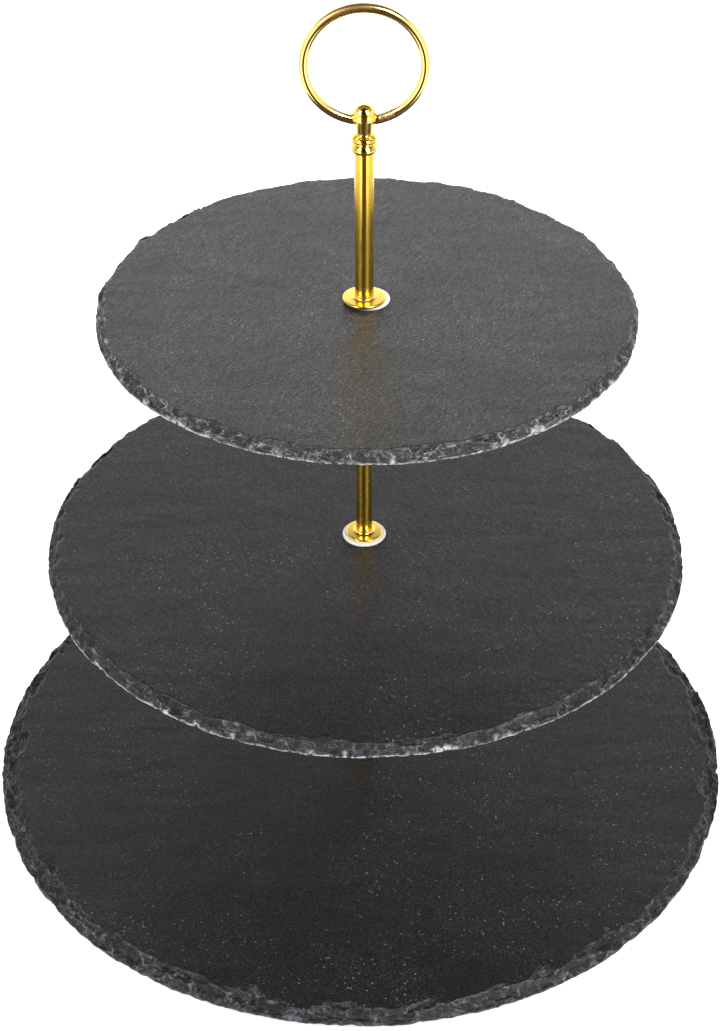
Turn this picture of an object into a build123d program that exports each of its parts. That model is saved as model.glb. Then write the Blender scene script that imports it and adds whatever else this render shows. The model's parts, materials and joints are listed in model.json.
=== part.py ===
from build123d import *
import math
import os
import random

os.makedirs("parts", exist_ok=True)

# ---- driving dimensions, millimetres ------------------------------------------------------
FOOT_H = 5.0
FOOT_R = 6.0
FOOT_CIRCLE_R = 104.0

PLATE_T = 5.0
PLATE_EDGE_T = 1.2
TIER_PITCH = 106.5
PLATE_HOLE_R = 3.6
LOWER_R = 150.0
MIDDLE_R = 125.0
UPPER_R = 100.0
LOWER_CENTRE = (-1.6, 0.0)
MIDDLE_CENTRE = (0.6, 1.6)
UPPER_CENTRE = (1.0, 1.6)
UPPER_PAD_CENTRE = (1.0, 0.2)
CHIPS_PER_MM = 0.075
CHIP_DEPTH = 0.9

PAD_R = 8.5
PAD_T = 1.0
PAD_HOLE_R = 3.25
UNDER_PAD_R = 7.0
SEAT_R = 5.0
SEAT_T = 0.8

STUD_R = 2.0
STUD_ROOT_R = 1.65
STUD_PITCH = 0.8
STUD_GRIP = 9.0
PLAIN_TIP = 0.4
THREAD_GAP = 0.05

POST_R = 3.2
TOP_POST_R = 3.5
POST_BORE_R = STUD_R + THREAD_GAP
FLANGE_R = 7.1
TOP_FLANGE_R = 8.0
FLANGE_RIM_T = 1.2
FLANGE_H = 3.4
UPPER_POST_H = 60.1
SOLDER_GAP = 0.05

COLLAR_H = 7.55
BEAD_R = 4.72
COLLAR_WAIST_R = 3.55

NECK_LOW_R = 2.95
NECK_HIGH_R = 3.45
NECK_H = 5.1
HEAD_R = 3.9
HEAD_TOP_H = 10.7
EAR_R = 2.55
EAR_SPAN = 9.1

WIRE_R = 1.7
RING_R = 21.0
RING_HOLE_R = 2.02
RING_HOLE_H = 4.85
RING_SAG = 0.23

# ---- heights that follow from them ---------------------------------------------------------
LOWER_Z = FOOT_H
MIDDLE_Z = LOWER_Z + TIER_PITCH
UPPER_Z = MIDDLE_Z + TIER_PITCH
LOWER_FLANGE_Z = LOWER_Z + PLATE_T + PAD_T
MIDDLE_FLANGE_Z = MIDDLE_Z + PLATE_T + PAD_T
UPPER_FLANGE_Z = UPPER_Z + PLATE_T + PAD_T
LOWER_POST_TOP = MIDDLE_Z - PAD_T - SEAT_T
MIDDLE_POST_TOP = UPPER_Z - PAD_T - SEAT_T
UPPER_POST_TOP = UPPER_FLANGE_Z + UPPER_POST_H
NECK_Z = UPPER_POST_TOP + COLLAR_H
RING_HOLE_Z = NECK_Z + RING_HOLE_H
SCREW_HEAD_TOP = LOWER_Z - PAD_T - SEAT_T


def knapped_rim(radius, centre, seed):
    """Corner points of a many-sided, slightly uneven circle."""
    rng = random.Random(seed)
    count = 4 * round(2 * math.pi * radius * CHIPS_PER_MM / 4)
    corners = []
    for i in range(count):
        turn = 2 * math.pi * i / count
        on_axis = i % (count // 4) == 0
        wobble = 0 if on_axis else rng.uniform(0, CHIP_DEPTH)
        reach = radius - wobble
        corners.append((centre[0] + reach * math.cos(turn), centre[1] + reach * math.sin(turn)))
    return corners


def slate_plate(z, radius, centre, bevel, seed):
    """A slate disc whose rim slopes inwards from its lower edge."""
    corners = knapped_rim(radius, centre, seed)
    slope_h = PLATE_T - PLATE_EDGE_T
    with BuildPart() as plate:
        with BuildSketch(Plane.XY.offset(z)):
            with BuildLine():
                Polyline(*corners, close=True)
            make_face()
        extrude(amount=PLATE_EDGE_T)
        with BuildSketch(Plane.XY.offset(z + PLATE_EDGE_T)):
            with BuildLine():
                Polyline(*corners, close=True)
            make_face()
        extrude(amount=slope_h, taper=math.degrees(math.atan2(bevel, slope_h)))
        with Locations((0, 0, z)):
            Hole(PLATE_HOLE_R)
    return plate


def ring_pad(z, radius, hole_r, thick, soften, centre=(0, 0)):
    """A flat washer with softened outer edges."""
    with BuildPart() as pad:
        with BuildSketch(Plane.XY.offset(z)):
            with Locations(centre):
                Circle(radius)
                Circle(hole_r, mode=Mode.SUBTRACT)
        extrude(amount=thick)
        rims = pad.edges().filter_by(GeomType.CIRCLE)
        outer = rims.filter_by(lambda e: e.radius > hole_r + 0.1)
        fillet(outer, soften)
    return pad


def post_tube(z0, z1, radius):
    """A straight tube, bored for the studs."""
    with BuildPart() as tube:
        with BuildSketch(Plane.XY.offset(z0)):
            Circle(radius)
            Circle(POST_BORE_R, mode=Mode.SUBTRACT)
        extrude(amount=z1 - z0)
        top = tube.edges().filter_by(GeomType.CIRCLE).group_by(Axis.Z)[-1]
        chamfer(top.sort_by(SortBy.RADIUS)[-1], 0.25)
    return tube


def post_flange(z, radius, post_r):
    """A flared round foot soldered round the bottom of a tube."""
    bore = post_r + SOLDER_GAP
    lip = bore + 0.45
    rim_z = z + FLANGE_RIM_T
    top_z = z + FLANGE_H
    with BuildPart() as flange:
        with BuildSketch(Plane.XZ):
            with BuildLine():
                Line((bore, z), (radius - 0.25, z))
                Line((radius - 0.25, z), (radius, z + 0.25))
                Line((radius, z + 0.25), (radius, rim_z - 0.25))
                Line((radius, rim_z - 0.25), (radius - 0.25, rim_z))
                Line((radius - 0.25, rim_z), (radius - 0.9, rim_z))
                Line((radius - 0.9, rim_z), (lip + 1.3, rim_z + 0.25))
                ThreePointArc(
                    (lip + 1.3, rim_z + 0.25),
                    (lip + 0.47, rim_z + 0.95),
                    (lip, top_z),
                )
                Line((lip, top_z), (bore, top_z))
                Line((bore, top_z), (bore, z))
            make_face()
        revolve(axis=Axis.Z)
    return flange


def ridged_rod_points(z0, z1):
    """Outline points of a rod with ring ridges standing in for its thread."""
    points = [(STUD_ROOT_R, z0)]
    ridge_count = int((z1 - z0 - PLAIN_TIP) / STUD_PITCH)
    for i in range(ridge_count):
        low = z0 + i * STUD_PITCH
        points.append((STUD_R, low + 0.3 * STUD_PITCH))
        points.append((STUD_R, low + 0.45 * STUD_PITCH))
        points.append((STUD_ROOT_R, low + 0.75 * STUD_PITCH))
        points.append((STUD_ROOT_R, low + STUD_PITCH))
    points.append((STUD_ROOT_R, z1))
    return points


def threaded_stud(z0, z1):
    """A ridged stud with plain ends."""
    points = [(0, z0)] + ridged_rod_points(z0, z1) + [(0, z1)]
    with BuildPart() as stud:
        with BuildSketch(Plane.XZ):
            with BuildLine():
                Polyline(*points, close=True)
            make_face()
        revolve(axis=Axis.Z)
    return stud


def save(piece, name):
    """Name a piece and write its file."""
    piece.part.label = name
    export_step(piece.part, f"parts/{name}.step")
    box = piece.part.bounding_box()
    print(name, round(piece.part.volume, 1), box.min, box.max)


# ---- slate plates ---------------------------------------------------------------------------
lower_plate = slate_plate(LOWER_Z, LOWER_R, LOWER_CENTRE, 6.0, seed=11)
middle_plate = slate_plate(MIDDLE_Z, MIDDLE_R, MIDDLE_CENTRE, 4.8, seed=12)
upper_plate = slate_plate(UPPER_Z, UPPER_R, UPPER_CENTRE, 4.0, seed=13)
save(lower_plate, "lower_plate")
save(middle_plate, "middle_plate")
save(upper_plate, "upper_plate")

# ---- rubber feet ----------------------------------------------------------------------------
for number in range(4):
    turn = math.radians(45 + 90 * number)
    spot = (FOOT_CIRCLE_R * math.cos(turn), FOOT_CIRCLE_R * math.sin(turn))
    with BuildPart() as foot:
        with BuildSketch(Plane.XY.offset(FOOT_H)):
            with Locations(spot):
                Circle(FOOT_R)
        extrude(amount=-FOOT_H, taper=8)
        fillet(foot.edges().group_by(Axis.Z)[0], 0.8)
    save(foot, f"foot_{number + 1}")

# ---- pads and washers -----------------------------------------------------------------------
lower_top_washer = ring_pad(LOWER_Z + PLATE_T, PAD_R, PAD_HOLE_R, PAD_T, 0.3)
middle_top_washer = ring_pad(MIDDLE_Z + PLATE_T, PAD_R, PAD_HOLE_R, PAD_T, 0.3)
upper_top_washer = ring_pad(UPPER_Z + PLATE_T, PAD_R, PAD_HOLE_R, PAD_T, 0.3, UPPER_PAD_CENTRE)
lower_under_washer = ring_pad(LOWER_Z - PAD_T, UNDER_PAD_R, PAD_HOLE_R, PAD_T, 0.3)
middle_under_washer = ring_pad(MIDDLE_Z - PAD_T, UNDER_PAD_R, PAD_HOLE_R, PAD_T, 0.3)
upper_under_washer = ring_pad(UPPER_Z - PAD_T, UNDER_PAD_R, PAD_HOLE_R, PAD_T, 0.3)
base_screw_washer = ring_pad(SCREW_HEAD_TOP, SEAT_R, STUD_R + 0.15, SEAT_T, 0.1)
middle_seat_washer = ring_pad(LOWER_POST_TOP, SEAT_R, STUD_R + 0.15, SEAT_T, 0.1)
upper_seat_washer = ring_pad(MIDDLE_POST_TOP, SEAT_R, STUD_R + 0.15, SEAT_T, 0.1)
save(lower_top_washer, "lower_top_washer")
save(middle_top_washer, "middle_top_washer")
save(upper_top_washer, "upper_top_washer")
save(lower_under_washer, "lower_under_washer")
save(middle_under_washer, "middle_under_washer")
save(upper_under_washer, "upper_under_washer")
save(base_screw_washer, "base_screw_washer")
save(middle_seat_washer, "middle_seat_washer")
save(upper_seat_washer, "upper_seat_washer")

# ---- posts and their flared feet ------------------------------------------------------------
lower_post_tube = post_tube(LOWER_FLANGE_Z, LOWER_POST_TOP, POST_R)
middle_post_tube = post_tube(MIDDLE_FLANGE_Z, MIDDLE_POST_TOP, POST_R)
upper_post_tube = post_tube(UPPER_FLANGE_Z, UPPER_POST_TOP, TOP_POST_R)
lower_post_flange = post_flange(LOWER_FLANGE_Z, FLANGE_R, POST_R)
middle_post_flange = post_flange(MIDDLE_FLANGE_Z, FLANGE_R, POST_R)
upper_post_flange = post_flange(UPPER_FLANGE_Z, TOP_FLANGE_R, TOP_POST_R)
save(lower_post_tube, "lower_post_tube")
save(middle_post_tube, "middle_post_tube")
save(upper_post_tube, "upper_post_tube")
save(lower_post_flange, "lower_post_flange")
save(middle_post_flange, "middle_post_flange")
save(upper_post_flange, "upper_post_flange")

# ---- studs that join one post to the next ---------------------------------------------------
lower_post_stud = threaded_stud(LOWER_POST_TOP - STUD_GRIP, MIDDLE_FLANGE_Z + STUD_GRIP)
middle_post_stud = threaded_stud(MIDDLE_POST_TOP - STUD_GRIP, UPPER_FLANGE_Z + STUD_GRIP)
save(lower_post_stud, "lower_post_stud")
save(middle_post_stud, "middle_post_stud")

# ---- the screw that comes up from below -----------------------------------------------------
HEAD_BOTTOM = SCREW_HEAD_TOP - 2.2
SCREW_HEAD_R = 4.0
shank_points = ridged_rod_points(SCREW_HEAD_TOP, LOWER_FLANGE_Z + STUD_GRIP)
with BuildPart() as base_screw:
    with BuildSketch(Plane.XZ):
        with BuildLine():
            Polyline(
                (0, HEAD_BOTTOM),
                (SCREW_HEAD_R - 1.0, HEAD_BOTTOM),
                (SCREW_HEAD_R - 0.25, HEAD_BOTTOM + 0.5),
                (SCREW_HEAD_R, HEAD_BOTTOM + 1.2),
                (SCREW_HEAD_R, SCREW_HEAD_TOP),
                *shank_points,
                (0, LOWER_FLANGE_Z + STUD_GRIP),
                close=True,
            )
        make_face()
    revolve(axis=Axis.Z)
    with BuildSketch(Plane.XY.offset(HEAD_BOTTOM)):
        Rectangle(4.4, 0.9)
        Rectangle(0.9, 4.4)
    extrude(amount=1.3, mode=Mode.SUBTRACT)
save(base_screw, "base_screw")

# ---- collar with two beads ------------------------------------------------------------------
with BuildPart() as bead_collar:
    with BuildSketch(Plane.XZ):
        with BuildLine():
            z = UPPER_POST_TOP
            Line((POST_BORE_R, z), (COLLAR_WAIST_R, z))
            Line((COLLAR_WAIST_R, z), (COLLAR_WAIST_R, z + 0.4))
            Line((COLLAR_WAIST_R, z + 0.4), (BEAD_R - 0.45, z + 0.7))
            ThreePointArc((BEAD_R - 0.45, z + 0.7), (BEAD_R, z + 1.4), (BEAD_R - 0.4, z + 2.15))
            Line((BEAD_R - 0.4, z + 2.15), (COLLAR_WAIST_R, z + 3.5))
            Line((COLLAR_WAIST_R, z + 3.5), (COLLAR_WAIST_R, z + 4.1))
            Line((COLLAR_WAIST_R, z + 4.1), (BEAD_R - 0.45, z + 4.4))
            ThreePointArc((BEAD_R - 0.45, z + 4.4), (BEAD_R, z + 5.1), (BEAD_R - 0.4, z + 5.85))
            Line((BEAD_R - 0.4, z + 5.85), (NECK_LOW_R, z + COLLAR_H))
            Line((NECK_LOW_R, z + COLLAR_H), (POST_BORE_R, z + COLLAR_H))
            Line((POST_BORE_R, z + COLLAR_H), (POST_BORE_R, z))
        make_face()
    revolve(axis=Axis.Z)
save(bead_collar, "bead_collar")

# ---- finial: tapered neck, domed head, two ears round the ring's hole -----------------------
SPIGOT_Z = UPPER_POST_TOP - STUD_GRIP
spigot_points = ridged_rod_points(SPIGOT_Z, NECK_Z)
HEAD_LOW_Z = NECK_Z + NECK_H
HEAD_TOP_Z = NECK_Z + HEAD_TOP_H
with BuildPart() as finial:
    with BuildSketch(Plane.XZ):
        with BuildLine():
            Polyline((0, HEAD_TOP_Z), (0, SPIGOT_Z), *spigot_points, (NECK_LOW_R, NECK_Z))
            Line((NECK_LOW_R, NECK_Z), (NECK_HIGH_R, HEAD_LOW_Z - 0.3))
            Line((NECK_HIGH_R, HEAD_LOW_Z - 0.3), (HEAD_R, HEAD_LOW_Z + 0.2))
            Spline(
                (HEAD_R, HEAD_LOW_Z + 0.2),
                (0.8 * HEAD_R, HEAD_LOW_Z + 3.7),
                (0, HEAD_TOP_Z),
                tangents=[(0, 1), (-1, 0)],
            )
        make_face()
    revolve(axis=Axis.Z)
    with BuildSketch(Plane.YZ.offset(-EAR_SPAN / 2)):
        with Locations((0, RING_HOLE_Z)):
            Circle(EAR_R)
    extrude(amount=EAR_SPAN)
    tips = finial.edges().filter_by(GeomType.CIRCLE).filter_by(lambda e: abs(e.radius - EAR_R) < 0.01)
    fillet(tips, 0.5)
    with BuildSketch(Plane.YZ.offset(-EAR_SPAN)):
        with Locations((0, RING_HOLE_Z)):
            Circle(RING_HOLE_R)
    extrude(amount=2 * EAR_SPAN, mode=Mode.SUBTRACT)
save(finial, "finial")

# ---- carry ring -----------------------------------------------------------------------------
RING_CENTRE_Z = RING_HOLE_Z + RING_R - RING_SAG
with BuildPart() as carry_ring:
    with BuildSketch(Plane.XY.offset(RING_CENTRE_Z)):
        with Locations((RING_R, 0)):
            Circle(WIRE_R)
    revolve(axis=Axis((0, 0, RING_CENTRE_Z), (0, 1, 0)))
save(carry_ring, "carry_ring")
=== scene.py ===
# %% [markdown]
# # A three-tier slate cake stand
#
# Three round plates of natural slate hang on a slim gold-coloured post. Each plate's rim is
# knapped, which means it is chipped to size with a hammer, so it slopes and flakes. A wire
# ring goes through a domed finial at the top and carries the stand.
#
# The notebook is in cells. A markdown cell says what a piece is and why it is made that way,
# and the code cell after it makes the piece. All lengths are metres, and +Z is up.

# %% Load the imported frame
import json
import math

import bmesh
import bpy
import numpy as np
from mathutils import Matrix, Vector, noise


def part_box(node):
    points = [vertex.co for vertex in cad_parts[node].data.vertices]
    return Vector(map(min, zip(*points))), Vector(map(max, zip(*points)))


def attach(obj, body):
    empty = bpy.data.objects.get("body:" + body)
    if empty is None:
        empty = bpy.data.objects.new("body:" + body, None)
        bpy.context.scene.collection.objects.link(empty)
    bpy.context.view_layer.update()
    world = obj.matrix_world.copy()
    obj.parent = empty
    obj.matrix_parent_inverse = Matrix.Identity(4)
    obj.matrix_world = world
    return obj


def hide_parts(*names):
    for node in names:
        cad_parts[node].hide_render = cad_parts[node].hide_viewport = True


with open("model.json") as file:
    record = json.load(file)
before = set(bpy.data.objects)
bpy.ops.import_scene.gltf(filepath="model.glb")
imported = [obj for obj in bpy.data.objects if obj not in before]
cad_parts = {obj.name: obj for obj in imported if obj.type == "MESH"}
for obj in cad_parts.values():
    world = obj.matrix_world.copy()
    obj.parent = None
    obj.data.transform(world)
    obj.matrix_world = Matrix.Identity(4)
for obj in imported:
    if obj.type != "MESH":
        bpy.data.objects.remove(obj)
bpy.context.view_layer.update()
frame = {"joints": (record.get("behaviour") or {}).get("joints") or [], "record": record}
MM = 0.001

# %% [markdown]
# ## Measuring the frame
#
# Every place in this file comes from the frame's nodes. A turned piece needs its axis, its
# lowest and highest level and its radius, and `measure` reads those from a node's box.

# %% Read sizes from the nodes and hand pieces over
TIERS = ("lower", "middle", "upper")
BODY_OF = {
    node: body
    for body, nodes in frame["record"]["behaviour"]["bodies"].items()
    for node in nodes
}


def measure(node):
    """The axis, the two levels and the radius of a round node."""
    low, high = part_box(node)
    middle = (low + high) / 2
    return {
        "x": middle.x,
        "y": middle.y,
        "low": low.z,
        "high": high.z,
        "radius": (high.x - low.x) / 2,
    }


def hand_over(piece, node, slot):
    """The finished piece stands for its node and moves with the node's body."""
    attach(piece, BODY_OF[node])
    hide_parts(node)
    faces = len(piece.data.polygons)
    print(f"{piece.name}: {faces} faces, stands for {node}, slot {slot}")


def new_mesh(name, points, faces):
    mesh = bpy.data.meshes.new(name)
    mesh.from_pydata(points, [], faces)
    return mesh


def add_object(name, data):
    made = bpy.data.objects.new(name, data)
    bpy.context.scene.collection.objects.link(made)
    return made


for tier in TIERS:
    size = measure(f"{tier}_plate")
    print(tier, "plate radius", round(size["radius"], 4), "underside at", round(size["low"], 4))

# %% [markdown]
# ## Camera
#
# The camera stands in front of the stand and looks down on it at about 33 degrees. A long
# lens keeps the plates' ellipses calm. The lens shift moves the frame and not the camera, so
# the upright post stays nearly upright.

# %% Place the camera
CAMERA_BACK = 0.683
CAMERA_UP = 0.627
CAMERA_PITCH = 32.86
LENS_MM = 75.4
FRAME_SHIFT = (-0.0041, -0.1252)

camera_data = bpy.data.cameras.new("camera")
camera_data.lens = LENS_MM
camera_data.sensor_width = 36.0
camera_data.shift_x, camera_data.shift_y = FRAME_SHIFT
camera_data.clip_start = 0.01
camera_data.clip_end = 50.0
camera = add_object("camera", camera_data)
camera.location = (0.0, -CAMERA_BACK, CAMERA_UP)
camera.rotation_euler = (math.radians(90.0 - CAMERA_PITCH), 0.0, 0.0)
bpy.context.scene.camera = camera
print("camera", [round(v, 3) for v in camera.location], "lens", LENS_MM)

# %% [markdown]
# ## Adding nodes
#
# Geometry trees and shader trees are built from the same kinds of node. `Bench` adds a node,
# sets it and wires its inputs in one line: an input is either a number or another node's
# output, and `feed` tells them apart. `product` and `total` take any number of parts.

# %% A bench for wiring nodes


class Bench:
    """Adds nodes to one tree and wires them as they are added."""

    def __init__(self, tree):
        self.tree = tree

    def feed(self, socket, value):
        if isinstance(value, bpy.types.NodeSocket):
            self.tree.links.new(value, socket)
        elif value is not None:
            socket.default_value = value

    def node(self, kind, inputs=None, **settings):
        made = self.tree.nodes.new(kind)
        for name, value in settings.items():
            setattr(made, name, value)
        for name, value in (inputs or {}).items():
            self.feed(made.inputs[name], value)
        return made

    def math(self, operation, *values):
        made = self.node("ShaderNodeMath", operation=operation)
        for socket, value in zip(made.inputs, values):
            self.feed(socket, value)
        return made.outputs[0]

    def product(self, first, *others):
        for value in others:
            first = self.math("MULTIPLY", first, value)
        return first

    def total(self, first, *others):
        for value in others:
            first = self.math("ADD", first, value)
        return first

    def vector(self, operation, *values):
        made = self.node("ShaderNodeVectorMath", operation=operation)
        for socket, value in zip(made.inputs, values):
            self.feed(socket, value)
        return made.outputs[1 if operation in ("LENGTH", "DOT_PRODUCT") else 0]

    def scaled(self, vector, factor):
        made = self.node("ShaderNodeVectorMath", operation="SCALE")
        self.feed(made.inputs[0], vector)
        self.feed(made.inputs["Scale"], factor)
        return made.outputs[0]

    def combine(self, x, y, z):
        return self.node("ShaderNodeCombineXYZ", {0: x, 1: y, 2: z}).outputs[0]

    def split(self, vector):
        return self.node("ShaderNodeSeparateXYZ", {0: vector}).outputs

    def noise(self, vector, scale, detail=2.0, rough=0.5):
        made = self.node(
            "ShaderNodeTexNoise",
            {"Vector": vector, "Scale": scale, "Detail": detail, "Roughness": rough},
        )
        return made.outputs[0]

    def noise_vector(self, vector, scale, detail=2.0):
        made = self.node(
            "ShaderNodeTexNoise", {"Vector": vector, "Scale": scale, "Detail": detail}
        )
        return made.outputs[1]

    def cells(self, vector, scale, feature="F1"):
        made = self.node(
            "ShaderNodeTexVoronoi", {"Vector": vector, "Scale": scale}, feature=feature
        )
        return made.outputs

    def between(self, value, low, high, to_low=0.0, to_high=1.0, smooth=True):
        kind = "SMOOTHSTEP" if smooth else "LINEAR"
        made = self.node(
            "ShaderNodeMapRange",
            {0: value, 1: low, 2: high, 3: to_low, 4: to_high},
            interpolation_type=kind,
        )
        return made.outputs[0]

    def blend(self, factor, a, b):
        """A number between a and b."""
        made = self.node("ShaderNodeMix", data_type="FLOAT")
        for socket, value in zip(made.inputs[0:1] + made.inputs[2:4], (factor, a, b)):
            self.feed(socket, value)
        return made.outputs[0]

    def tint(self, factor, a, b, how="MIX"):
        """A colour between a and b."""
        made = self.node("ShaderNodeMix", data_type="RGBA", blend_type=how)
        for socket, value in zip(made.inputs[0:1] + made.inputs[6:8], (factor, a, b)):
            self.feed(socket, value)
        return made.outputs[2]


def add_inputs(tree, kinds):
    """Named inputs of a tree: {name: (socket type, value)}."""
    for name, (kind, value) in kinds.items():
        socket = tree.interface.new_socket(name=name, in_out="INPUT", socket_type=kind)
        if value is not None:
            socket.default_value = value


def add_outputs(tree, kinds):
    for name, kind in kinds.items():
        tree.interface.new_socket(name=name, in_out="OUTPUT", socket_type=kind)


def colour(red, green, blue):
    return (red, green, blue, 1.0)


# %% [markdown]
# ## Shader groups that several finishes share
#
# Slate is split along its bedding, so its face is a stack of very thin sheets that end in
# faint streaks all running one way. A stretched noise gives those streaks, and a second,
# finer one gives the sandy grain. Mica shows as tiny bright specks, painted into the colour as
# glints: the centres of very small cells, kept only where a random number is high. Handling
# leaves a soft film on metal, which is a wide, weak noise. Each effect is one group, so every
# material gives it its own sizes.

# %% Shader group: bedding streaks and grain
FLOAT = "NodeSocketFloat"


def bedding_group():
    tree = bpy.data.node_groups.new("bedding streaks", "ShaderNodeTree")
    add_inputs(
        tree,
        {
            "Vector": ("NodeSocketVector", None),
            "Turn": (FLOAT, 0.6),
            "Streak Scale": (FLOAT, 1300.0),
            "Grain Scale": (FLOAT, 2600.0),
        },
    )
    add_outputs(tree, {"Streak": FLOAT, "Grain": FLOAT, "Cloud": FLOAT, "Height": FLOAT})
    bench = Bench(tree)
    given = bench.node("NodeGroupInput").outputs
    turned = bench.node(
        "ShaderNodeVectorRotate",
        {"Vector": given["Vector"], "Angle": given["Turn"]},
        rotation_type="Z_AXIS",
    ).outputs[0]
    wave = bench.vector("SUBTRACT", bench.noise_vector(turned, 60.0), (0.5, 0.5, 0.5))
    turned = bench.vector("ADD", turned, bench.scaled(wave, 0.006))
    stretched = bench.vector("MULTIPLY", turned, (0.2, 1.0, 1.0))
    streak = bench.noise(stretched, given["Streak Scale"], 3.0, 0.6)
    broad_scale = bench.product(given["Streak Scale"], 0.16)
    broad = bench.noise(stretched, broad_scale, 4.0, 0.6)
    grain = bench.noise(given["Vector"], given["Grain Scale"], 2.0, 0.7)
    cloud = bench.noise(given["Vector"], 26.0, 4.0, 0.6)
    both = bench.math("MULTIPLY_ADD", broad, 0.5, streak)
    height = bench.math("MULTIPLY_ADD", grain, 0.5, both)
    out = bench.node("NodeGroupOutput").inputs
    bench.feed(out["Streak"], streak)
    bench.feed(out["Grain"], grain)
    bench.feed(out["Cloud"], cloud)
    bench.feed(out["Height"], height)
    return tree


BEDDING = bedding_group()
print("group", BEDDING.name)

# %% Shader group: mica flecks


def mica_group():
    tree = bpy.data.node_groups.new("mica flecks", "ShaderNodeTree")
    add_inputs(
        tree,
        {
            "Vector": ("NodeSocketVector", None),
            "Fleck Scale": (FLOAT, 700.0),
            "Rarity": (FLOAT, 0.8),
            "Fleck Size": (FLOAT, 0.3),
        },
    )
    add_outputs(tree, {"Fleck": FLOAT})
    bench = Bench(tree)
    given = bench.node("NodeGroupInput").outputs
    cell = bench.cells(given["Vector"], given["Fleck Scale"])
    chance = bench.split(cell["Color"])[0]
    kept = bench.between(chance, given["Rarity"], 1.0)
    inner = bench.product(given["Fleck Size"], 0.4)
    dot = bench.between(cell["Distance"], inner, given["Fleck Size"], 1.0, 0.0)
    out = bench.node("NodeGroupOutput").inputs
    bench.feed(out["Fleck"], bench.product(kept, dot))
    return tree


MICA = mica_group()
print("group", MICA.name)

# %% Shader group: handling film and rub marks


def handling_group():
    tree = bpy.data.node_groups.new("handling film", "ShaderNodeTree")
    add_inputs(
        tree,
        {
            "Vector": ("NodeSocketVector", None),
            "Film Scale": (FLOAT, 90.0),
            "Rub Scale": (FLOAT, 900.0),
        },
    )
    add_outputs(tree, {"Film": FLOAT, "Rub": FLOAT})
    bench = Bench(tree)
    given = bench.node("NodeGroupInput").outputs
    film = bench.noise(given["Vector"], given["Film Scale"], 4.0, 0.6)
    along = bench.vector("MULTIPLY", given["Vector"], (1.0, 1.0, 0.12))
    rub = bench.noise(along, given["Rub Scale"], 3.0, 0.7)
    out = bench.node("NodeGroupOutput").inputs
    bench.feed(out["Film"], bench.between(film, 0.35, 0.7))
    bench.feed(out["Rub"], rub)
    return tree


HANDLING = handling_group()
print("group", HANDLING.name)

# %% [markdown]
# ## Slate
#
# The material reads two things. Object coordinates place the streaks and the mica on the
# stone itself. The attributes that the knapping tree writes on each plate say where the rim is
# chipped, where its lower edge is crushed pale and painted lighter, how light each chip is, and
# where the chip edges and the bedding steps run. Each plate has its own tones. The two lower
# plates are much darker than the upper one, and that is painted shade from the plates above
# them. `turn` is the direction of its streaks in radians. The edge colour is a painted highlight
# over pale broken stone along its chips' edges. The crush colour is bruised pale stone with a
# painted highlight along its lower edge.

# %% Material: split slate
STREAK_SCALE = 1100.0
GRAIN_SCALE = 1500.0
SMALL_CHIPS = 2.7
TINY_CHIPS = 6.5
MICA_GLINT = (0.26, 0.26, 0.27)


def place_group(bench, group, inputs):
    made = bench.node("ShaderNodeGroup", node_tree=group)
    for name, value in inputs.items():
        bench.feed(made.inputs[name], value)
    return made.outputs


def new_material(name):
    material = bpy.data.materials.new(name)
    material.use_nodes = True
    material.node_tree.nodes.clear()
    return material, Bench(material.node_tree)


def surface(bench, material, inputs, **plain):
    """The Principled shader. Plain numbers are set on its own sockets."""
    shader = bench.node("ShaderNodeBsdfPrincipled")
    for name, value in plain.items():
        shader.inputs[name.replace("_", " ")].default_value = value
    for name, value in inputs.items():
        bench.feed(shader.inputs[name], value)
    bench.node("ShaderNodeOutputMaterial", {"Surface": shader.outputs[0]})
    return material


def read_attribute(bench, name):
    return bench.node("ShaderNodeAttribute", attribute_name=name).outputs["Fac"]


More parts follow.
